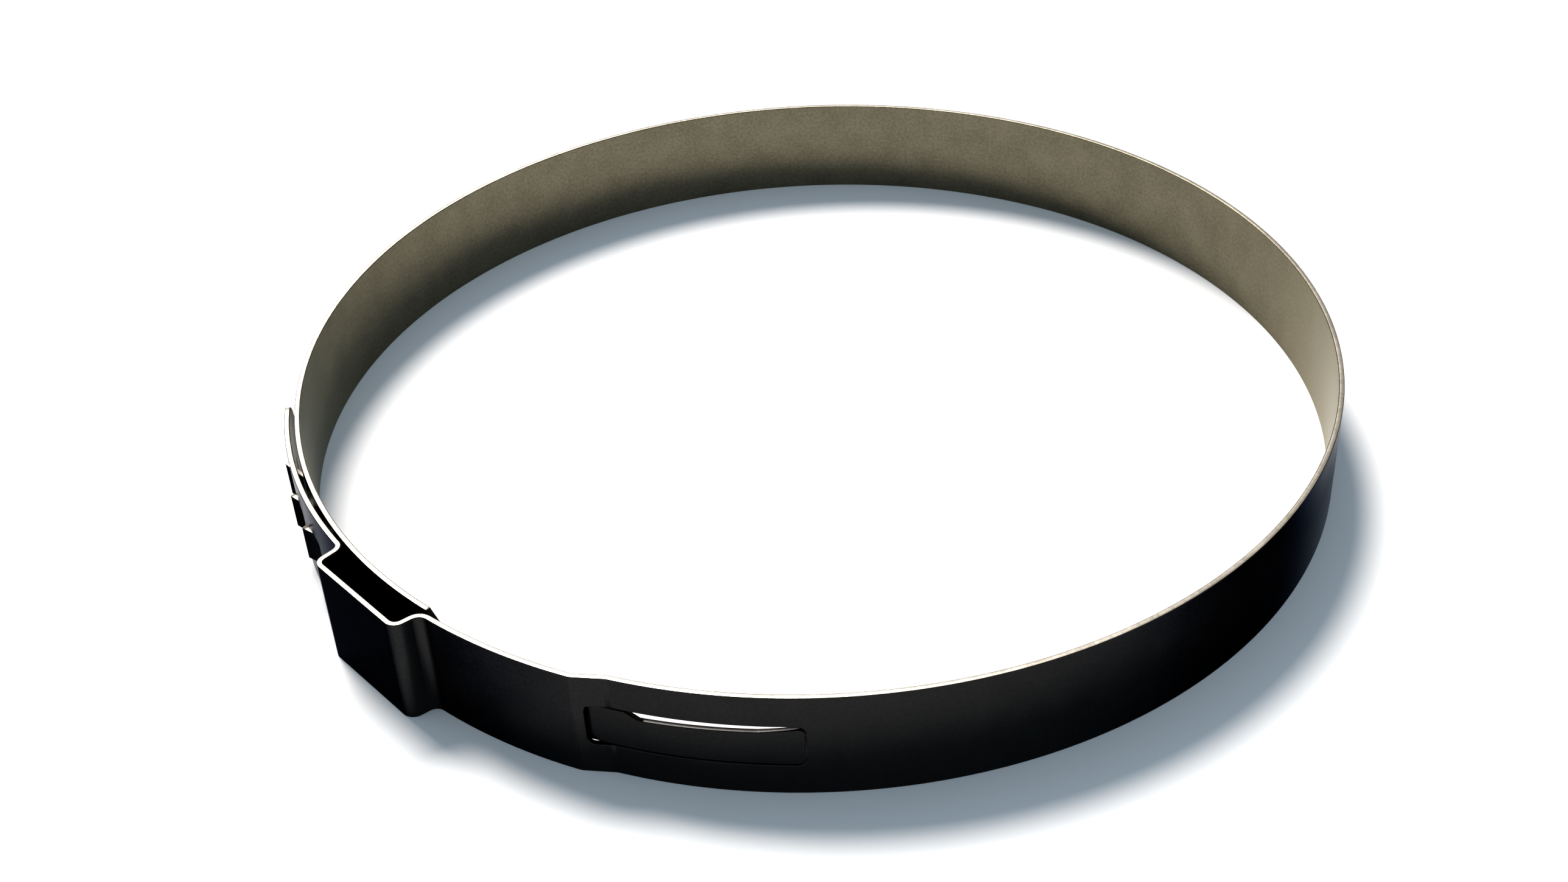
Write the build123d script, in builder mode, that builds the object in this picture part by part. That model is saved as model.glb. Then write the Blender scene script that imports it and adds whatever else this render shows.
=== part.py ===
"""Ear hose clamp: one strip of stainless steel, stamped, rolled into a ring and hooked to itself.

The strip's outer end lies over the ring. Three windows in it catch three hooks sheared from the
layer beneath. It then rises into the ear, which is squeezed to close the clamp, and steps down
to the ring through a joggle. The inner end passes under the ear and narrows to a tongue, which
lies flush in a slot past the joggle, so the bore has no step.

Angles are in degrees, anticlockwise from +X as seen from above. Lengths are in millimetres.
The origin is on the ring's axis, at half the strip's width.
"""

import os
from math import cos, degrees, radians, sin

from build123d import *
from build123d.topology import SkipClean

# Strip and ring
strip_width = 9.0
strip_thickness = 0.45
bore_radius = 42.85
layer_gap = 0.18

# Ear, from its left foot to its right foot
ear_left_foot = 214.45
ear_left_crown = 215.10
ear_right_crown = 227.85
ear_right_foot = 228.40
ear_height = 2.2
left_bend = 0.5
right_crown_bend = 0.8
right_foot_bend = 1.0

# Outer end, left of the ear
tip_angle = 187.0
bow_angle = 200.0
tip_gap = 0.33
bow_gap = 0.38
tip_corner = 1.2

# Joggle and slot, right of the ear
joggle_start = 246.0
joggle_end = 249.3
joggle_bend = 1.6
slot_start = 245.2
slot_end = 267.6
slot_width = 3.6
slot_corner = 0.6

# Inner end: shoulders and tongue
shoulder_angle = 231.5
shoulder_chamfer = 2.2
tongue_end = 267.3
tongue_width = 3.4
tongue_corner = 0.5
nose_start = 251.1
nose_ramp_end = 252.1
nose_knee = 261.5
nose_relief = 0.75
nose_tip_relief = 0.35

# Hooks in the inner layer and the windows over them
hook_angles = (192.7, 198.5, 204.3)
hook_length = 2.7
hook_width = 3.0
hook_height = 1.35
hook_thickness = 0.41
hook_root = 0.8
hook_bend = 1.5
shear_gap = 0.1
window_length = 3.3
window_width = 3.4
window_corner = 0.3
window_lead = 0.35

# Worked out from the sizes above
half_width = strip_width / 2
outer_radius = bore_radius + strip_thickness
ring_line = bore_radius + strip_thickness / 2
upper_line = ring_line + strip_thickness + layer_gap
crown_line = upper_line + ear_height


def polar(radius: float, angle: float) -> tuple[float, float]:
    """Return the plan position at a radius and an angle."""
    return radius * cos(radians(angle)), radius * sin(radians(angle))


def turn(length: float, radius: float = ring_line) -> float:
    """Return the angle that a length takes along an arc."""
    return degrees(length / radius)


def sheet_arc(start: float, end: float, inner: float, outer: float, width: float) -> Part:
    """Return a rolled piece of sheet between two angles, centred on the strip's width."""
    with BuildPart() as sheet:
        with BuildSketch():
            with BuildLine():
                CenterArc((0, 0), (inner + outer) / 2, start, end - start)
            trace(line_width=outer - inner)
        extrude(amount=width / 2, both=True)
    return sheet.part


def punch(start: float, end: float, inner: float, outer: float, width: float, corner: float) -> Part:
    """Return a sector with round corners, for piercing a hole through the rolled strip."""
    with BuildPart() as tool:
        add(sheet_arc(start, end, inner, outer, width))
        straight = tool.edges().filter_by(GeomType.LINE)
        fillet(straight - straight.filter_by(Axis.Z), radius=corner)
    return tool.part


# Tongue: the narrow inner end, with its nose relieved along the upper edge
with BuildPart() as tongue:
    add(sheet_arc(shoulder_angle - 3, tongue_end, bore_radius, outer_radius, tongue_width))
    nose_middle = (nose_start + tongue_end) / 2
    nose_x = Vector(*polar(1, nose_middle + 90), 0)
    nose_z = Vector(*polar(1, nose_middle), 0)
    nose_plane = Plane(origin=nose_z * (bore_radius - 2), x_dir=nose_x, z_dir=nose_z)
    nose_near = ring_line * sin(radians(nose_start - nose_middle))
    nose_ramp = ring_line * sin(radians(nose_ramp_end - nose_middle))
    nose_turn = ring_line * sin(radians(nose_knee - nose_middle))
    tongue_top = tongue_width / 2
    with BuildSketch(nose_plane):
        with BuildLine():
            Polyline(
                (nose_near, tongue_top + 1),
                (nose_near, tongue_top),
                (nose_ramp, tongue_top - nose_relief),
                (nose_turn, tongue_top - nose_relief),
                (1 - nose_near, tongue_top - nose_tip_relief),
                (1 - nose_near, tongue_top + 1),
                close=True,
            )
        make_face()
    extrude(amount=4, mode=Mode.SUBTRACT)
    nose_end = Vector(*polar(ring_line, tongue_end), 0)
    nose_face = tongue.faces().sort_by_distance(nose_end)[0]
    nose_corners = nose_face.edges().filter_by(Axis.Z, reverse=True)
    fillet(nose_corners, radius=tongue_corner)

# Hook: a tab sheared on three sides and bent out, with its open end at angle zero
with BuildPart() as hook:
    with BuildSketch():
        with BuildLine() as hook_line:
            root_point = polar(ring_line, turn(hook_length))
            Line(polar(ring_line + hook_height, 0), root_point)
            CenterArc((0, 0), ring_line, turn(hook_length), turn(hook_root))
            bend_point = hook_line.vertices().sort_by_distance(Vector(*root_point))[0]
            fillet(bend_point, radius=hook_bend)
        trace(line_width=hook_thickness)
    extrude(amount=hook_width / 2, both=True)

# Strip: the folded path in plan, given its thickness and its width
with BuildPart() as clamp_band:
    with BuildSketch():
        with BuildLine() as strip_path:
            ThreePointArc(
                polar(ring_line + strip_thickness + tip_gap, tip_angle),
                polar(ring_line + strip_thickness + bow_gap, bow_angle),
                polar(upper_line, ear_left_foot),
            )
            Line(polar(upper_line, ear_left_foot), polar(crown_line, ear_left_crown))
            CenterArc((0, 0), crown_line, ear_left_crown, ear_right_crown - ear_left_crown)
            Line(polar(crown_line, ear_right_crown), polar(upper_line, ear_right_foot))
            CenterArc((0, 0), upper_line, ear_right_foot, joggle_start - ear_right_foot)
            Line(polar(upper_line, joggle_start), polar(ring_line, joggle_end))
            CenterArc((0, 0), ring_line, joggle_end, 360 + shoulder_angle - joggle_end)
            for bend_radius, bend_angle, bend in (
                (upper_line, ear_left_foot, left_bend),
                (crown_line, ear_left_crown, left_bend),
                (crown_line, ear_right_crown, right_crown_bend),
                (upper_line, ear_right_foot, right_foot_bend),
                (upper_line, joggle_start, joggle_bend),
                (ring_line, joggle_end, joggle_bend),
            ):
                bend_point = Vector(*polar(bend_radius, bend_angle))
                fillet(strip_path.vertices().sort_by_distance(bend_point)[0], radius=bend)
        trace(line_width=strip_thickness)
    extrude(amount=half_width, both=True)

    # Tip of the outer end and shoulders of the inner end
    tip_point = Vector(*polar(ring_line + strip_thickness + tip_gap, tip_angle), 0)
    tip_face = clamp_band.faces().sort_by_distance(tip_point)[0]
    fillet(tip_face.edges().filter_by(Axis.Z, reverse=True), radius=tip_corner)
    shoulder_point = Vector(*polar(ring_line, shoulder_angle), 0)
    shoulder_face = clamp_band.faces().sort_by_distance(shoulder_point)[0]
    chamfer(shoulder_face.edges().filter_by(Axis.Z, reverse=True), length=shoulder_chamfer)

    # The tongue's faces stay apart from the ring's, because joined they would go round more than once
    with SkipClean():
        # Slot for the tongue
        add(
            punch(slot_start, slot_end, bore_radius - 2, upper_line + 2, slot_width, slot_corner),
            mode=Mode.SUBTRACT,
        )
        add(tongue.part)

        # Windows in the outer layer, and the opening each hook leaves in the layer beneath
        for hook_angle in hook_angles:
            window_start = hook_angle - turn(window_lead)
            window_end = window_start + turn(window_length)
            opening_end = hook_angle + turn(hook_length + shear_gap)
            add(
                punch(
                    window_start, window_end, outer_radius + 0.05, upper_line + 2, window_width, window_corner
                ),
                mode=Mode.SUBTRACT,
            )
            add(
                sheet_arc(
                    hook_angle - turn(shear_gap),
                    opening_end,
                    bore_radius - 1,
                    outer_radius + 0.05,
                    hook_width + 2 * shear_gap,
                ),
                mode=Mode.SUBTRACT,
            )
            add(hook.part.rotate(Axis.Z, hook_angle))

clamp_band.part.label = "clamp_band"
os.makedirs("parts", exist_ok=True)
export_step(clamp_band.part, "parts/clamp_band.step")
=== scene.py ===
"""Ear hose clamp: one strip of stainless steel, stamped flat, rolled and dressed.

The strip is laid out flat, pierced, given its thickness and then bent along its path, the way
the real one is made. It replaces the CAD node and stays inside its box. Lengths are in
millimetres until a mesh is finished, and angles run anticlockwise from +X as seen from above.
"""

import logging
from collections.abc import Callable
from dataclasses import dataclass, field
from enum import Enum
from math import atan2, ceil, copysign, cos, degrees, pi, radians, sin, tan

import bmesh
import bpy
from mathutils import Matrix, Vector


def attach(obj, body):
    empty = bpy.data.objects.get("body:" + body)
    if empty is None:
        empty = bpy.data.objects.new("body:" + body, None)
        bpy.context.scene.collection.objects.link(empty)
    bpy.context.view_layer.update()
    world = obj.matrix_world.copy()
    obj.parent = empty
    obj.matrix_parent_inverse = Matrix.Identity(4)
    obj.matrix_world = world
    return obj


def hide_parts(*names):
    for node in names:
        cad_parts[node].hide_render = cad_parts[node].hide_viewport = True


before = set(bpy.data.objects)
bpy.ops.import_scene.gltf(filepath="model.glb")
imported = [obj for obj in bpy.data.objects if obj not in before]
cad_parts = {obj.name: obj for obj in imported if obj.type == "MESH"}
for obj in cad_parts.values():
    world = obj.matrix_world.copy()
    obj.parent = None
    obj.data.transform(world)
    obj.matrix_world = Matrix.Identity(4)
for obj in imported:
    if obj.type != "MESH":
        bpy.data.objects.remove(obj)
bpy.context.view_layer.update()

log = logging.getLogger("ear_clamp")

MM = 0.001
TINY = 1e-5
ALONG = Vector((1, 0))
ACROSS = Vector((0, 1))
UV_NAME = "strip"

Colour = tuple[float, float, float]
Corners = tuple[Vector, Vector]


class Surface(Enum):
    """The strip's kinds of surface, valued by material slot."""

    OUTER = 0
    INNER = 1
    SHEARED = 2


def polar(radius: float, angle: float) -> Vector:
    """Return the plan position at a radius and an angle in degrees."""
    return Vector((cos(radians(angle)), sin(radians(angle)))) * radius


# ---------------------------------------------------------------- the strip's path


@dataclass(frozen=True)
class Run:
    """A stretch of the strip's centre line with one curvature.

    Attributes:
        start: where it begins, in plan.
        heading: its direction there, in radians.
        length: its length.
        curvature: one over its radius, positive where it turns left.
    """

    start: Vector
    heading: float
    length: float
    curvature: float = 0.0

    def at(self, along: float) -> tuple[Vector, float]:
        """Follow the run.

        Args:
            along: the length from its start.

        Returns:
            The place there and the heading.
        """
        heading = self.heading + self.curvature * along
        if not self.curvature:
            return self.start + Vector((cos(heading), sin(heading))) * along, heading
        step = Vector((sin(heading) - sin(self.heading), cos(self.heading) - cos(heading)))
        return self.start + step / self.curvature, heading

    def trimmed(self, head: float, tail: float) -> "Run":
        """Return the run with a length taken off each end."""
        place, heading = self.at(head)
        return Run(place, heading, self.length - head - tail, self.curvature)

    @classmethod
    def line(cls, start: Vector, end: Vector) -> "Run":
        """Return the straight run between two points."""
        step = end - start
        return cls(start, atan2(step.y, step.x), step.length)

    @classmethod
    def ring(cls, radius: float, start: float, end: float) -> "Run":
        """Return the run round the ring's axis between two angles."""
        heading = radians(start) + pi / 2
        return cls(polar(radius, start), heading, radius * radians(end - start), 1 / radius)

    @classmethod
    def arc(cls, start: Vector, middle: Vector, end: Vector) -> "Run":
        """Draw a run that turns left on the circle through three points.

        Args:
            start: where the run begins.
            middle: a point that it passes.
            end: where it ends.

        Returns:
            The run.
        """
        first, second, chord = middle - start, end - middle, end - start
        half_turn = (atan2(second.y, second.x) - atan2(first.y, first.x)) % (2 * pi)
        radius = chord.length / (2 * sin(half_turn))
        return cls(start, atan2(chord.y, chord.x) - half_turn, 2 * half_turn * radius, 1 / radius)


class StripPath:
    """The strip's centre line in plan, from its outer end to its inner end."""

    def __init__(self, runs: list[Run], bends: list[float]) -> None:
        """Join runs end to end.

        Args:
            runs: the runs, each starting where the one before it ends.
            bends: the bend radius between each run and the next, or 0 where they are in line.
        """
        joined = [runs[0]]
        for following, bend in zip(runs[1:], bends):
            last = joined.pop()
            _, heading = last.at(last.length)
            turn = (following.heading - heading + pi) % (2 * pi) - pi
            tangent = bend * tan(abs(turn) / 2)
            last, following = last.trimmed(0, tangent), following.trimmed(tangent, 0)
            joined.append(last)
            if bend:
                place, heading = last.at(last.length)
                turn = (following.heading - heading + pi) % (2 * pi) - pi
                joined.append(Run(place, heading, bend * abs(turn), copysign(1 / bend, turn)))
            joined.append(following)
        self.runs = joined
        self.starts = [sum(run.length for run in joined[:i]) for i in range(len(joined))]
        self.length = sum(run.length for run in joined)
        first = runs[0].start
        self.first_angle = degrees(atan2(first.y, first.x)) % 360
        self.usual_radius = 1 / runs[-1].curvature

    def at(self, along: float) -> tuple[Vector, Vector]:
        """Follow the path.

        Args:
            along: the length from the outer end.

        Returns:
            The place there and the outward direction.
        """
        index = max(i for i, start in enumerate(self.starts) if start <= max(along, 0.0))
        place, heading = self.runs[index].at(along - self.starts[index])
        return place, Vector((sin(heading), -cos(heading)))

    def angle_at(self, along: float) -> float:
        """Find how far round the ring a place on the path is.

        Args:
            along: the length from the outer end.

        Returns:
            Its angle, which grows past 360 on the inner layer.
        """
        place, _ = self.at(along)
        angle = degrees(atan2(place.y, place.x))
        expected = self.first_angle + degrees(along / self.usual_radius)
        return angle + 360 * round((expected - angle) / 360)

    def reach(self, angle: float) -> float:
        """Find an angle on the path.

        Args:
            angle: the angle, counted as angle_at counts it.

        Returns:
            The length to it from the outer end.
        """
        low, high = 0.0, self.length
        while high - low > TINY:
            middle = (low + high) / 2
            low, high = (middle, high) if self.angle_at(middle) < angle else (low, middle)
        return low

    def tight_bends(self, radius: float) -> list[tuple[float, float]]:
        """Find the bends tighter than a radius.

        Args:
            radius: the radius.

        Returns:
            The start and end of each bend, as lengths from the outer end.
        """
        return [
            (start, start + run.length)
            for start, run in zip(self.starts, self.runs)
            if abs(run.curvature) > 1 / radius
        ]


# ---------------------------------------------------------------- flat sheet work


class FlatSheet:
    """A flat piece of sheet: x along the strip, y across it and z through its thickness."""

    def __init__(self, length: float, width: float) -> None:
        """Lay out a plain rectangle, centred on the strip's width.

        Args:
            length: its length from the outer end.
            width: its width.
        """
        self.bm = bmesh.new()
        bmesh.ops.create_grid(self.bm, x_segments=1, y_segments=1, size=0.5)
        bmesh.ops.translate(self.bm, verts=self.bm.verts, vec=(0.5, 0, 0))
        bmesh.ops.scale(self.bm, verts=self.bm.verts, vec=(length, width, 1))

    def faces_in(
        self, low: Vector, high: Vector, faces: list[bmesh.types.BMFace] | None = None
    ) -> list[bmesh.types.BMFace]:
        """Find the faces whose middles lie between two corners.

        Args:
            low: the corner with the lower x and y.
            high: the corner with the higher x and y.
            faces: the faces to choose from, or None for all of them.

        Returns:
            The faces found.
        """
        found = []
        for face in self.bm.faces if faces is None else faces:
            middle = face.calc_center_median()
            if low.x < middle.x < high.x and low.y < middle.y < high.y:
                found.append(face)
        return found

    def cut(
        self, place: Vector, normal: Vector, faces: list[bmesh.types.BMFace]
    ) -> list[bmesh.types.BMFace]:
        """Cut faces along a line.

        Args:
            place: a point on the line.
            normal: the direction square to the line.
            faces: the faces to cut.

        Returns:
            The faces that result.
        """
        edges = dict.fromkeys(edge for face in faces for edge in face.edges)
        verts = dict.fromkeys(vert for face in faces for vert in face.verts)
        result = bmesh.ops.bisect_plane(
            self.bm,
            geom=[*faces, *edges, *verts],
            dist=TINY,
            plane_co=place.to_3d(),
            plane_no=normal.to_3d(),
        )
        return [item for item in result["geom"] if isinstance(item, bmesh.types.BMFace)]

    def mark_out(self, low: Vector, high: Vector) -> list[bmesh.types.BMFace]:
        """Cut the outline of a rectangle into the sheet.

        Args:
            low: the rectangle's corner with the lower x and y.
            high: its corner with the higher x and y.

        Returns:
            The faces inside it.
        """
        band = [
            face
            for face in self.bm.faces
            if min(v.co.x for v in face.verts) < high.x - TINY
            and max(v.co.x for v in face.verts) > low.x + TINY
            and min(v.co.y for v in face.verts) < high.y - TINY
            and max(v.co.y for v in face.verts) > low.y + TINY
        ]
        for place in (low, high):
            band = self.cut(place, ALONG, band)
        band = [face for face in band if low.x < face.calc_center_median().x < high.x]
        for place in (low, high):
            band = self.cut(place, ACROSS, band)
        return self.faces_in(low, high, band)

    def remove(self, faces: list[bmesh.types.BMFace]) -> None:
        """Take faces out of the sheet."""
        bmesh.ops.delete(self.bm, geom=faces, context="FACES")

    def round_corners(self, places: list[Vector], radius: float, steps: int = 6) -> None:
        """Round, or with one step chamfer, some corners of the outline.

        Args:
            places: a place for each corner, which is the vertex nearest to it.
            radius: the radius, or the length of the chamfer.
            steps: the number of edges in each rounding.
        """
        for place in places:
            corner = min(self.bm.verts, key=lambda vert: (vert.co.xy - place).length)
            bmesh.ops.bevel(
                self.bm,
                geom=[corner],
                offset=radius,
                offset_type="OFFSET",
                affect="VERTICES",
                segments=steps,
                profile=0.5,
                material=-1,
            )

    def pierce(self, low: Vector, high: Vector, corner: float) -> None:
        """Punch a rectangular hole.

        Args:
            low: the hole's corner with the lower x and y.
            high: its corner with the higher x and y.
            corner: the radius of its corners.
        """
        inside = self.mark_out(low, high)
        flanks = [
            face
            for face in self.bm.faces
            if face not in inside and low.x < face.calc_center_median().x < high.x
        ]
        self.cut((low + high) / 2, ALONG, flanks)
        self.remove(inside)
        joins = [
            edge
            for edge in self.bm.edges
            if len(edge.link_faces) == 2
            and all(min(abs(v.co.x - low.x), abs(v.co.x - high.x)) < TINY for v in edge.verts)
        ]
        bmesh.ops.dissolve_edges(self.bm, edges=joins, use_verts=False)
        corners = [Vector((x, y)) for x in (low.x, high.x) for y in (low.y, high.y)]
        self.round_corners(corners, corner)

    def thicken(self, thickness: float) -> None:
        """Give the sheet its thickness.

        Args:
            thickness: the thickness, half of which goes to each side.
        """
        made = bmesh.ops.extrude_face_region(self.bm, geom=self.bm.faces[:], use_keep_orig=True)
        raised = [item for item in made["geom"] if isinstance(item, bmesh.types.BMVert)]
        bmesh.ops.translate(self.bm, verts=raised, vec=(0, 0, thickness))
        bmesh.ops.translate(self.bm, verts=self.bm.verts, vec=(0, 0, -thickness / 2))
        bmesh.ops.recalc_face_normals(self.bm, faces=self.bm.faces)

    def soften_edges(self, radius: float, steps: int) -> None:
        """Round every edge between the sheet's faces and its sheared walls.

        Args:
            radius: the radius.
            steps: the number of faces across each rounding.
        """
        least_turn = radians(60)
        sharp = [
            edge
            for edge in self.bm.edges
            if len(edge.link_faces) == 2
            and edge.calc_face_angle() > least_turn
            and abs(edge.verts[0].co.z - edge.verts[1].co.z) < TINY
        ]
        bmesh.ops.bevel(
            self.bm,
            geom=sharp,
            offset=radius,
            offset_type="OFFSET",
            affect="EDGES",
            segments=steps,
            profile=0.5,
            clamp_overlap=False,
            material=-1,
        )

    def sort_surfaces(self, painted_shade_walls: list[Corners]) -> None:
        """Give each face the slot of its kind of surface, and the strip's UV map.

        Args:
            painted_shade_walls: two corners of each place whose walls take the outer face's
                near-black tone as painted shade.
        """
        inmost, outmost = -0.1, 0.5  # a wall's normal, with the rounding of its outer edge
        uv = self.bm.loops.layers.uv.new(UV_NAME)
        # Walls round the slot, the shoulders and the tongue take the outer face's material:
        # painted shade, where little light reaches them.
        painted_shade_faces = {face for low, high in painted_shade_walls for face in self.faces_in(low, high)}
        for face in self.bm.faces:
            face.normal_update()
            if inmost < face.normal.z < outmost:
                kind = Surface.OUTER if face in painted_shade_faces else Surface.SHEARED
            else:
                kind = Surface.OUTER if face.normal.z > 0 else Surface.INNER
            face.material_index = kind.value
            face.smooth = True
            for loop in face.loops:
                co = loop.vert.co
                loop[uv].uv = (co.x, co.y) if kind is not Surface.SHEARED else (co.x, co.y + co.z)

    def slice_at(self, places: list[float]) -> None:
        """Cut the sheet across, so that it can bend.

        Args:
            places: the lengths along it to cut at.
        """
        ahead = self.bm.faces[:]
        for along in sorted(places):
            made = self.cut(Vector((along, 0)), ALONG, ahead)
            ahead = [face for face in made if max(v.co.x for v in face.verts) > along + TINY]


# ---------------------------------------------------------------- the band


@dataclass
class ClampBand:
    """The clamp's one piece: its sizes, its flat pattern and its rolled mesh.

    Places along the strip are given as angles round the ring. Those on the inner layer are one
    turn further on than they are written.
    """

    strip_width: float = 9.0
    strip_thickness: float = 0.45
    bore_radius: float = 42.85
    layer_gap: float = 0.18
    edge_round: float = 0.07

    ear_left_foot: float = 214.45
    ear_left_crown: float = 215.10
    ear_right_crown: float = 227.85
    ear_right_foot: float = 228.40
    ear_height: float = 2.2
    left_bend: float = 0.7
    right_crown_bend: float = 0.8
    right_foot_bend: float = 1.0

    tip_angle: float = 187.0
    bow_angle: float = 200.0
    tip_gap: float = 0.33
    bow_gap: float = 0.38
    tip_corner: float = 1.2

    joggle_start: float = 246.0
    joggle_end: float = 249.3
    joggle_bend: float = 1.6
    slot_start: float = 246.85
    slot_end: float = 267.6
    slot_width: float = 3.6
    slot_corner: float = 0.6

    shoulder_angle: float = 231.5
    shoulder_chamfer: float = 2.2
    tongue_end: float = 267.585
    tongue_width: float = 3.4
    tongue_corner: float = 0.5
    nose_start: float = 250.7
    nose_ramp_end: float = 252.1
    nose_knee: float = 263.2
    nose_relief: float = 0.62
    nose_knee_relief: float = 0.46
    nose_tip_relief: float = 0.12

    hook_angles: tuple[float, ...] = (192.7, 198.5, 204.3)
    hook_length: float = 2.7
    hook_width: float = 3.0
    hook_height: float = 1.35
    hook_bend: float = 1.5
    shear_gap: float = 0.1
    window_length: float = 3.3
    window_width: float = 3.4
    window_corner: float = 0.3
    window_lead: float = 0.35

    overshoot: float = 1.0
    slice_step: float = 0.45
    bend_slices: int = 8
    slowest_bend: float = 10.0
    path: StripPath = field(init=False)
    tabs: list[tuple[float, float]] = field(init=False)

    def __post_init__(self) -> None:
        """Work out the strip's path and where the hooks are along it."""
        ring_line = self.bore_radius + self.strip_thickness / 2
        upper_line = ring_line + self.strip_thickness + self.layer_gap
        crown_line = upper_line + self.ear_height
        foot_left, foot_right = self.ear_left_foot, self.ear_right_foot
        crown_left, crown_right = self.ear_left_crown, self.ear_right_crown
        runs = [
            Run.arc(
                polar(ring_line + self.strip_thickness + self.tip_gap, self.tip_angle),
                polar(ring_line + self.strip_thickness + self.bow_gap, self.bow_angle),
                polar(upper_line, foot_left),
            ),
            Run.line(polar(upper_line, foot_left), polar(crown_line, crown_left)),
            Run.line(polar(crown_line, crown_left), polar(crown_line, crown_right)),
            Run.line(polar(crown_line, crown_right), polar(upper_line, foot_right)),
            Run.ring(upper_line, foot_right, self.joggle_start),
            Run.line(polar(upper_line, self.joggle_start), polar(ring_line, self.joggle_end)),
            Run.ring(ring_line, self.joggle_end, self.tongue_end + 360),
        ]
        bends = [
            self.left_bend,
            self.left_bend,
            self.right_crown_bend,
            self.right_foot_bend,
            self.joggle_bend,
            self.joggle_bend,
        ]
        self.path = StripPath(runs, bends)
        self.tabs = []
        for angle in self.hook_angles:
            end = self.path.reach(angle + 360)
            self.tabs.append((end, end + self.hook_length + self.shear_gap))

    def stamp(self) -> FlatSheet:
        """Cut the flat strip's outline and pierce its holes.

        Returns:
            The flat strip, with no thickness.
        """
        reach = self.path.reach
        half = self.strip_width / 2
        sheet = FlatSheet(self.path.length, self.strip_width)

        shoulder = reach(self.shoulder_angle + 360)
        tongue_half = self.tongue_width / 2
        past_end = self.path.length + self.overshoot
        for side in (-1, 1):
            low, high = sorted((side * tongue_half, side * (half + self.overshoot)))
            sheet.remove(sheet.mark_out(Vector((shoulder, low)), Vector((past_end, high))))
        self.relieve_nose(sheet)
        sheet.round_corners([Vector((self.path.length, -tongue_half))], self.tongue_corner)
        sheet.round_corners([Vector((self.path.length, tongue_half))], self.tongue_corner)
        shoulders = [Vector((shoulder, -half)), Vector((shoulder, half))]
        sheet.round_corners(shoulders, self.shoulder_chamfer, steps=1)
        sheet.round_corners([Vector((0, -half)), Vector((0, half))], self.tip_corner)

        slot_half = self.slot_width / 2
        sheet.pierce(
            Vector((reach(self.slot_start), -slot_half)),
            Vector((reach(self.slot_end), slot_half)),
            self.slot_corner,
        )
        window_half = self.window_width / 2
        for angle in self.hook_angles:
            start = reach(angle) - self.window_lead
            sheet.pierce(
                Vector((start, -window_half)),
                Vector((start + self.window_length, window_half)),
                self.window_corner,
            )
        for end, root in self.tabs:
            self.shear_hook(sheet, end, root)
        return sheet

    def relieve_nose(self, sheet: FlatSheet) -> None:
        """Cut the tongue's nose back along its upper edge, least at the tongue's end.

        Args:
            sheet: the flat strip.
        """
        top = self.tongue_width / 2
        end = self.path.length
        outline = [
            Vector((self.path.reach(self.nose_start + 360), top)),
            Vector((self.path.reach(self.nose_ramp_end + 360), top - self.nose_relief)),
            Vector((self.path.reach(self.nose_knee + 360), top - self.nose_knee_relief)),
            Vector((end, top - self.nose_tip_relief)),
        ]
        for start, finish in zip(outline, outline[1:]):
            stretch = sheet.mark_out(Vector((start.x, -top)), Vector((finish.x, top)))
            normal = (finish - start).orthogonal()
            made = sheet.cut(start, normal, stretch)
            sheet.remove([f for f in made if (f.calc_center_median().xy - start).dot(normal) > 0])

    def shear_hook(self, sheet: FlatSheet, end: float, root: float) -> None:
        """Shear one hook's tab free on three sides.

        Args:
            sheet: the flat strip.
            end: where the tab's free end is along the strip.
            root: where it stays joined.
        """
        outer, inner = self.hook_width / 2 + self.shear_gap, self.hook_width / 2
        opening = end - self.shear_gap
        sheet.mark_out(Vector((opening, -outer)), Vector((root, outer)))
        sheet.remove(sheet.mark_out(Vector((opening, -outer)), Vector((end, outer))))
        sheet.remove(sheet.mark_out(Vector((end, inner)), Vector((root, outer))))
        sheet.remove(sheet.mark_out(Vector((end, -outer)), Vector((root, -inner))))

    def slices(self) -> list[float]:
        """Choose where the strip is sliced: evenly, and finely in its bends.

        Returns:
            The lengths from the outer end to each slice.
        """
        count = ceil(self.path.length / self.slice_step)
        places = [self.path.length * i / count for i in range(1, count)]
        bends = self.path.tight_bends(self.slowest_bend)
        bends += [(root - self.hook_bend / 2, root) for _, root in self.tabs]
        for start, end in bends:
            step = (end - start) / self.bend_slices
            places += [start + step * i for i in range(self.bend_slices + 1)]
        return places

    def hook_bender(self) -> Callable[[Vector, float], Vector]:
        """Work out how steeply the hooks lean to reach their height.

        Returns:
            A function that takes a point of a flat tab and the tab's root, and returns where the
            point goes when the hook is bent out.
        """
        reach = self.hook_length + self.shear_gap
        low, high = 0.01, pi / 2
        while high - low > TINY:
            lean = (low + high) / 2
            straight = (self.hook_height - self.hook_bend * (1 - cos(lean))) / sin(lean)
            too_low = self.hook_bend * sin(lean) + straight * cos(lean) > reach
            low, high = (lean, high) if too_low else (low, lean)
        arc = self.hook_bend * lean
        stretch = (arc + straight) / reach

        def bend(co: Vector, root: float) -> Vector:
            """Bend one point.

            Args:
                co: the point, in the flat sheet.
                root: the length from the strip's outer end to the tab's root.

            Returns:
                Where the point goes.
            """
            along = max(root - co.x, 0.0) * stretch
            angle = min(along, arc) / self.hook_bend
            beyond = max(along - arc, 0.0)
            back = self.hook_bend * sin(angle) + beyond * cos(angle)
            rise = self.hook_bend * (1 - cos(angle)) + beyond * sin(angle)
            return Vector((root - back + co.z * sin(angle), co.y, rise + co.z * cos(angle)))

        return bend

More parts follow.
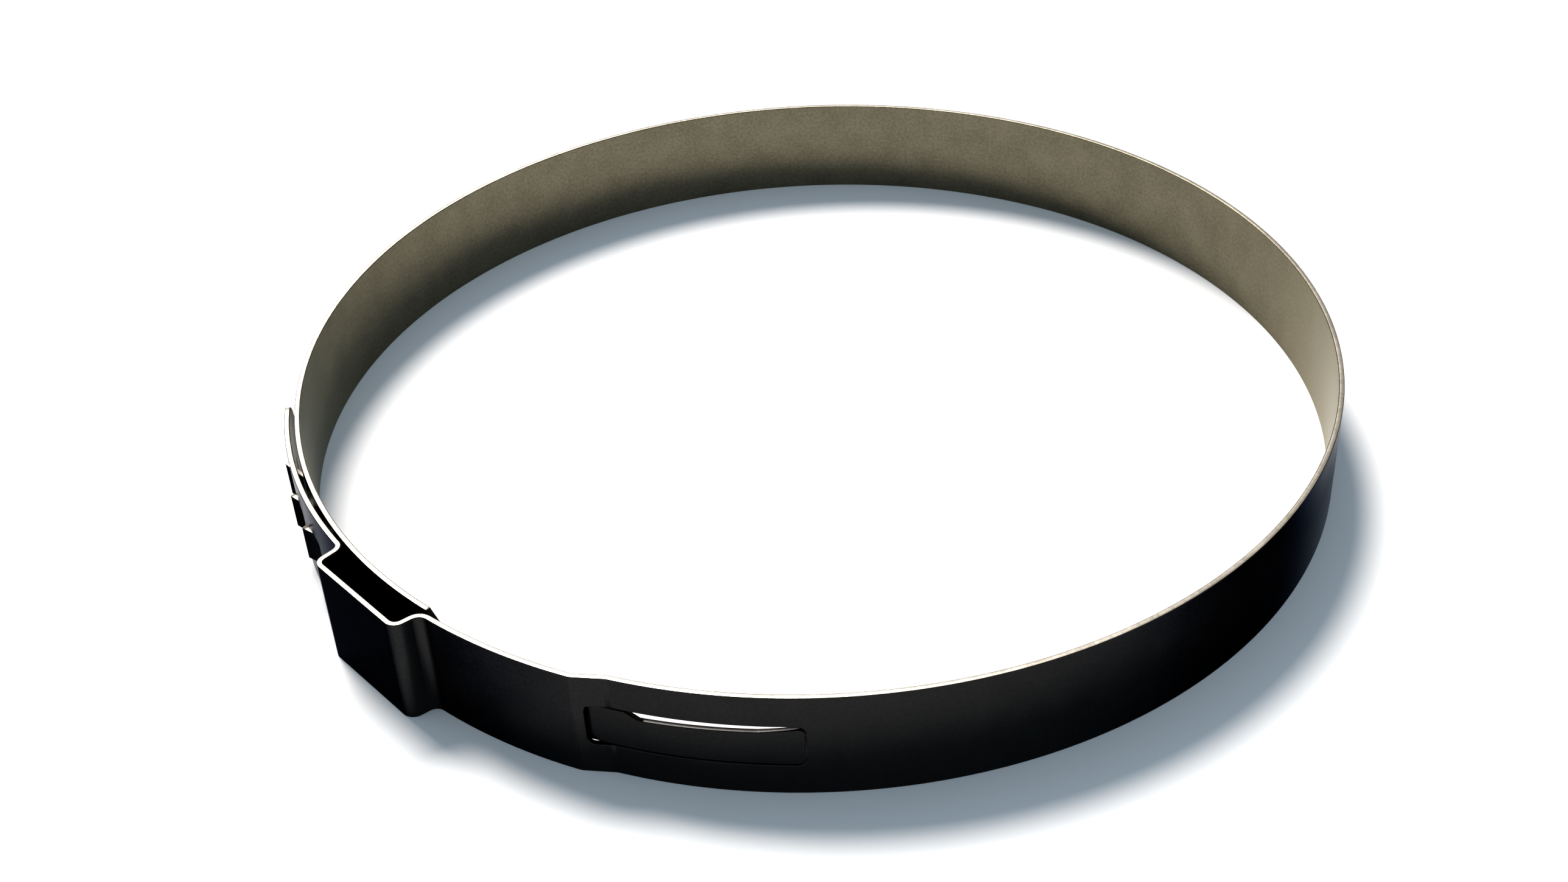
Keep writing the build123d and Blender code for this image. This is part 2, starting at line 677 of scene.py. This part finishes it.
    def roll(self, sheet: FlatSheet) -> None:
        """Bend the hooks out and then bend the whole strip along its path.

        Args:
            sheet: the sliced strip. Its points end up in metres, in the ring's own place.
        """
        bend = self.hook_bender()
        for end, root in self.tabs:
            for vert in sheet.bm.verts:
                if end - TINY < vert.co.x < root and abs(vert.co.y) < self.hook_width / 2 + TINY:
                    vert.co = bend(vert.co, root)
        for vert in sheet.bm.verts:
            place, outward = self.path.at(vert.co.x)
            plan = place + outward * vert.co.z
            vert.co = Vector((plan.x, plan.y, vert.co.y)) * MM

    def painted_shade_walls(self) -> list[Corners]:
        """Mark the places whose sheared walls get painted shade, the outer face's near-black
        tone.

        Returns:
            Two corners round the slot, and two round the shoulders and the tongue.
        """
        reach = self.path.reach
        margin = self.edge_round + TINY
        slot_half = self.slot_width / 2 + margin
        shoulder_start = reach(self.shoulder_angle + 360) - self.shoulder_chamfer
        shoulder_half = self.strip_width / 2 - self.edge_round
        past_end = self.path.length + self.overshoot
        return [
            (
                Vector((reach(self.slot_start) - margin, -slot_half)),
                Vector((reach(self.slot_end) + margin, slot_half)),
            ),
            (Vector((shoulder_start, -shoulder_half)), Vector((past_end, shoulder_half))),
        ]

    def build(self, finishes_and_shade: dict[Surface, "FinishAndShade"]) -> bpy.types.Object:
        """Make the band, dress it and put it in the CAD node's place.

        Args:
            finishes_and_shade: the finish of each kind of surface; the outer face's carries
                painted shade.

        Returns:
            The finished object.
        """
        sheet = self.stamp()
        sheet.thicken(self.strip_thickness)
        sheet.soften_edges(self.edge_round, steps=3)
        sheet.sort_surfaces(self.painted_shade_walls())
        sheet.slice_at(self.slices())
        self.roll(sheet)
        mesh = bpy.data.meshes.new("rolled_band")
        sheet.bm.to_mesh(mesh)
        sheet.bm.free()
        for surface in Surface:
            mesh.materials.append(finishes_and_shade[surface].material())
        band = bpy.data.objects.new("rolled_band", mesh)
        bpy.context.collection.objects.link(band)
        normals = band.modifiers.new("even_normals", "WEIGHTED_NORMAL")
        normals.mode = "FACE_AREA"
        normals.weight = 100
        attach(band, "root")
        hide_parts("clamp_band")
        log.info("%s: %d faces", band.name, len(mesh.polygons))
        return band


# ---------------------------------------------------------------- shader helpers


class Signal:
    """A node's output that takes part in Python arithmetic."""

    def __init__(self, shader: "Shader", socket: bpy.types.NodeSocket) -> None:
        """Wrap an output.

        Args:
            shader: the shader that it belongs to.
            socket: the output.
        """
        self.shader = shader
        self.socket = socket

    def _math(self, operation: str, other: "Signal | float") -> "Signal":
        """Return the result of a Math node on this output and another."""
        return self.shader.node("ShaderNodeMath", {"operation": operation}, {0: self, 1: other})

    def __add__(self, other: "Signal | float") -> "Signal":
        """Return self + other."""
        return self._math("ADD", other)

    def __sub__(self, other: "Signal | float") -> "Signal":
        """Return self - other."""
        return self._math("SUBTRACT", other)

    def __mul__(self, other: "Signal | float") -> "Signal":
        """Return self * other."""
        return self._math("MULTIPLY", other)


class Shader:
    """A material under construction."""

    def __init__(self, name: str) -> None:
        """Start an empty material.

        Args:
            name: the material's name.
        """
        self.material = bpy.data.materials.new(name)
        self.material.use_nodes = True
        self.tree = self.material.node_tree
        self.tree.nodes.clear()

    def node(
        self,
        kind: str,
        settings: dict[str, object] | None = None,
        inputs: dict[int | str, object] | None = None,
        output: int | str = 0,
    ) -> Signal:
        """Add a node.

        Args:
            kind: the node's type.
            settings: properties to set first.
            inputs: a value or a Signal for each socket, by name or number.
            output: the socket to return.

        Returns:
            The chosen output.
        """
        node = self.tree.nodes.new(kind)
        for name, value in (settings or {}).items():
            setattr(node, name, value)
        for socket, value in (inputs or {}).items():
            if isinstance(value, Signal):
                self.tree.links.new(value.socket, node.inputs[socket])
            else:
                node.inputs[socket].default_value = value
        return Signal(self, node.outputs[output] if len(node.outputs) else None)

    def mix(self, factor: Signal, first: Colour, second: Colour) -> Signal:
        """Return the colour that is a factor of the way from the first colour to the second."""
        inputs = {0: factor, 6: (*first, 1.0), 7: (*second, 1.0)}
        return self.node("ShaderNodeMix", {"data_type": "RGBA", "clamp_factor": True}, inputs, 2)

    def noise(self, place: Signal, scale: float, detail: float) -> Signal:
        """Return a noise value at a place."""
        inputs = {"Vector": place, "Scale": scale, "Detail": detail}
        return self.node("ShaderNodeTexNoise", {}, inputs)

    def spread(self, value: Signal, low: float, high: float) -> Signal:
        """Return 0 to 1 as a value goes from low to high."""
        inputs = {"Value": value, "From Min": low, "From Max": high}
        return self.node("ShaderNodeMapRange", {"clamp": True}, inputs)

    def finish(self, surface: Signal) -> bpy.types.Material:
        """Join a shader to the material's output and return the material."""
        self.node("ShaderNodeOutputMaterial", {}, {"Surface": surface})
        return self.material


@dataclass(frozen=True)
class FinishAndShade:
    """A finish of bare stainless strip. In the outer face's one, the near-black tones are painted
    shade.

    Attributes:
        name: the material's name.
        dark: the darker of its two tones.
        light: the lighter one.
        grazing: the tint of what it reflects at a low angle.
        roughness: its roughness.
        unevenness: how far the roughness varies.
        grain: how deep its grain is, in metres.
        grain_scale: grain lines to a millimetre, along and across the strip.
        patch_scale: patches to a millimetre.
        speck_scale: specks to a millimetre.
        patch_share: how much of the tone comes from patches. The rest comes from specks.
        tone_range: the noise values that give the dark and the light tone.
    """

    name: str
    dark: Colour
    light: Colour
    grazing: Colour
    roughness: float
    unevenness: float
    grain: float
    grain_scale: tuple[float, float]
    patch_scale: float = 0.35
    speck_scale: float = 3.5
    patch_share: float = 0.4
    tone_range: tuple[float, float] = (0.38, 0.62)

    def material(self) -> bpy.types.Material:
        """Make the finish's material.

        Returns:
            The material.
        """
        shader = Shader(self.name)
        strip = shader.node("ShaderNodeUVMap", {"uv_map": UV_NAME})
        scale = (*self.grain_scale, 1.0)
        lines = shader.node("ShaderNodeMapping", {}, {"Vector": strip, "Scale": scale})
        grain = shader.noise(lines, scale=1.0, detail=3.0)
        patches = shader.noise(strip, self.patch_scale, detail=4.0)
        specks = shader.noise(strip, self.speck_scale, detail=3.0)
        blend = patches * self.patch_share + specks * (1.0 - self.patch_share)
        colour = shader.mix(shader.spread(blend, *self.tone_range), self.dark, self.light)
        uneven = (patches + grain - 1.0) * self.unevenness
        bump = shader.node(
            "ShaderNodeBump", {}, {"Height": grain, "Strength": 1.0, "Distance": self.grain}
        )
        return shader.finish(
            shader.node(
                "ShaderNodeBsdfPrincipled",
                {},
                {
                    "Base Color": colour,
                    "Metallic": 1.0,
                    "Specular Tint": (*self.grazing, 1.0),
                    "Roughness": uneven + self.roughness,
                    "Normal": bump,
                },
            )
        )


# Painted shade: the outer face is the same steel as the inner face, but its tones and grazing
# tint are made near-black to stand in for the shade it shows.
OUTER_PAINTED_SHADE = FinishAndShade(
    name="rolled_face_painted_shade",
    dark=(0.012, 0.012, 0.012),
    light=(0.015, 0.015, 0.015),
    grazing=(0.30, 0.315, 0.35),
    roughness=0.24,
    unevenness=0.06,
    grain=2e-6,
    grain_scale=(0.25, 9.0),
)
INNER_FINISH = FinishAndShade(
    name="rolled_face_brown_grey",
    dark=(0.088, 0.078, 0.052),
    light=(0.126, 0.113, 0.076),
    grazing=(0.85, 0.82, 0.72),
    roughness=0.26,
    unevenness=0.06,
    grain=2e-6,
    grain_scale=(0.25, 9.0),
)
SHEARED_FINISH = FinishAndShade(
    name="sheared_edge",
    dark=(0.46, 0.435, 0.38),
    light=(0.62, 0.595, 0.54),
    grazing=(1.0, 1.0, 1.0),
    roughness=0.34,
    unevenness=0.1,
    grain=6e-6,
    grain_scale=(3.0, 1.2),
)


# ---------------------------------------------------------------- studio


@dataclass(frozen=True)
class Studio:
    """The pale floor and the soft light.

    Attributes:
        floor_half: half the floor's side, in metres.
        floor_height: the height of the floor, in metres.
        floor_colour: its own colour.
        lit: what the light on the open floor adds up to.
        ambient: the part of that from all round, which is all that reaches the shadow.
        sky: what bare metal reflects from above.
        sun_azimuth: where the key light comes from, in degrees from +X.
        sun_elevation: its height, in degrees.
        sun_angle: its apparent size, in degrees.
    """

    floor_half: float = 3.0
    floor_height: float = -0.0045
    floor_colour: Colour = (0.97, 0.97, 0.97)
    lit: float = 1.65
    ambient: Colour = (0.33, 0.41, 0.48)
    sky: Colour = (0.26, 0.24, 0.20)
    sun_azimuth: float = 115.0
    sun_elevation: float = 54.3
    sun_angle: float = 24.0

    def lay_floor(self) -> None:
        """Make the floor just under the clamp."""
        shader = Shader("pale_floor")
        surface = shader.node(
            "ShaderNodeBsdfDiffuse", {}, {"Color": (*self.floor_colour, 1.0), "Roughness": 0.0}
        )
        bm = bmesh.new()
        bmesh.ops.create_grid(bm, x_segments=1, y_segments=1, size=self.floor_half)
        bmesh.ops.translate(bm, verts=bm.verts, vec=(0, 0, self.floor_height))
        mesh = bpy.data.meshes.new("floor")
        bm.to_mesh(mesh)
        bm.free()
        mesh.materials.append(shader.finish(surface))
        floor = bpy.data.objects.new("floor", mesh)
        bpy.context.collection.objects.link(floor)

    @staticmethod
    def background(tree: bpy.types.NodeTree, colour: Colour) -> bpy.types.NodeSocket:
        """Add a plain background to a world.

        Args:
            tree: the world's node tree.
            colour: the background's colour.

        Returns:
            The background's output.
        """
        node = tree.nodes.new("ShaderNodeBackground")
        node.inputs["Color"].default_value = (*colour, 1.0)
        return node.outputs[0]

    def hang_key(self) -> None:
        """Hang the key light, which makes up what the surroundings lack of the lit floor."""
        key = [self.lit - part for part in self.ambient]
        strength = max(key)
        sun = bpy.data.lights.new("key", "SUN")
        sun.color = [part / strength for part in key]
        sun.energy = strength * pi / sin(radians(self.sun_elevation))
        sun.angle = radians(self.sun_angle)
        lamp = bpy.data.objects.new("key", sun)
        lamp.rotation_euler = (0, radians(90 - self.sun_elevation), radians(self.sun_azimuth))
        bpy.context.collection.objects.link(lamp)

    def surround(self) -> None:
        """Set the light from all round, what bare metal reflects of it and the white backdrop."""
        world = bpy.data.worlds.new("surroundings")
        world.use_nodes = True
        tree = world.node_tree
        tree.nodes.clear()
        path = tree.nodes.new("ShaderNodeLightPath")
        out = tree.nodes.new("ShaderNodeOutputWorld")
        result = self.background(tree, self.ambient)
        for ray, colour in (("Is Glossy Ray", self.sky), ("Is Camera Ray", (1.0, 1.0, 1.0))):
            mix = tree.nodes.new("ShaderNodeMixShader")
            tree.links.new(path.outputs[ray], mix.inputs[0])
            tree.links.new(result, mix.inputs[1])
            tree.links.new(self.background(tree, colour), mix.inputs[2])
            result = mix.outputs[0]
        tree.links.new(result, out.inputs[0])
        bpy.context.scene.world = world


@dataclass(frozen=True)
class Viewpoint:
    """The camera, placed round the clamp's middle.

    Attributes:
        distance: from the ring's middle, in metres.
        elevation: how far above the floor it looks from, in degrees.
        pan: how far it turns to the right of the middle, in degrees.
        tilt: how far it turns up from the middle, in degrees.
        roll: how far it leans, in degrees.
        lens: its focal length, in millimetres.
        frame_width: how wide its frame is, in millimetres.
        nearest: the nearest that it sees, in metres.
    """

    distance: float = 0.17392
    elevation: float = 34.71
    pan: float = -0.983
    tilt: float = -1.528
    roll: float = -2.636
    lens: float = 46.71
    frame_width: float = 36.0
    nearest: float = 0.005

    def place(self) -> None:
        """Make the camera and give it to the scene."""
        data = bpy.data.cameras.new("camera")
        data.sensor_fit = "HORIZONTAL"
        data.sensor_width = self.frame_width
        data.lens = self.lens
        data.clip_start = self.nearest
        camera = bpy.data.objects.new("camera", data)
        bpy.context.collection.objects.link(camera)
        swing = Matrix.Rotation(radians(90 - self.elevation), 4, "X")
        aim = (
            Matrix.Rotation(radians(-self.pan), 4, "Y")
            @ Matrix.Rotation(radians(self.tilt), 4, "X")
            @ Matrix.Rotation(radians(self.roll), 4, "Z")
        )
        camera.matrix_world = swing @ Matrix.Translation((0, 0, self.distance)) @ aim
        bpy.context.scene.camera = camera


def main() -> None:
    """Build the camera, the studio and the clamp."""
    logging.basicConfig(level=logging.INFO, format="%(name)s: %(message)s")
    bpy.context.scene.view_settings.view_transform = "Standard"
    Viewpoint().place()
    studio = Studio()
    studio.lay_floor()
    studio.hang_key()
    studio.surround()
    # The outer face's finish is painted shade in its tones.
    finishes_and_shade = {
        Surface.OUTER: OUTER_PAINTED_SHADE,
        Surface.INNER: INNER_FINISH,
        Surface.SHEARED: SHEARED_FINISH,
    }
    ClampBand().build(finishes_and_shade)


if __name__ == "__main__":
    main()
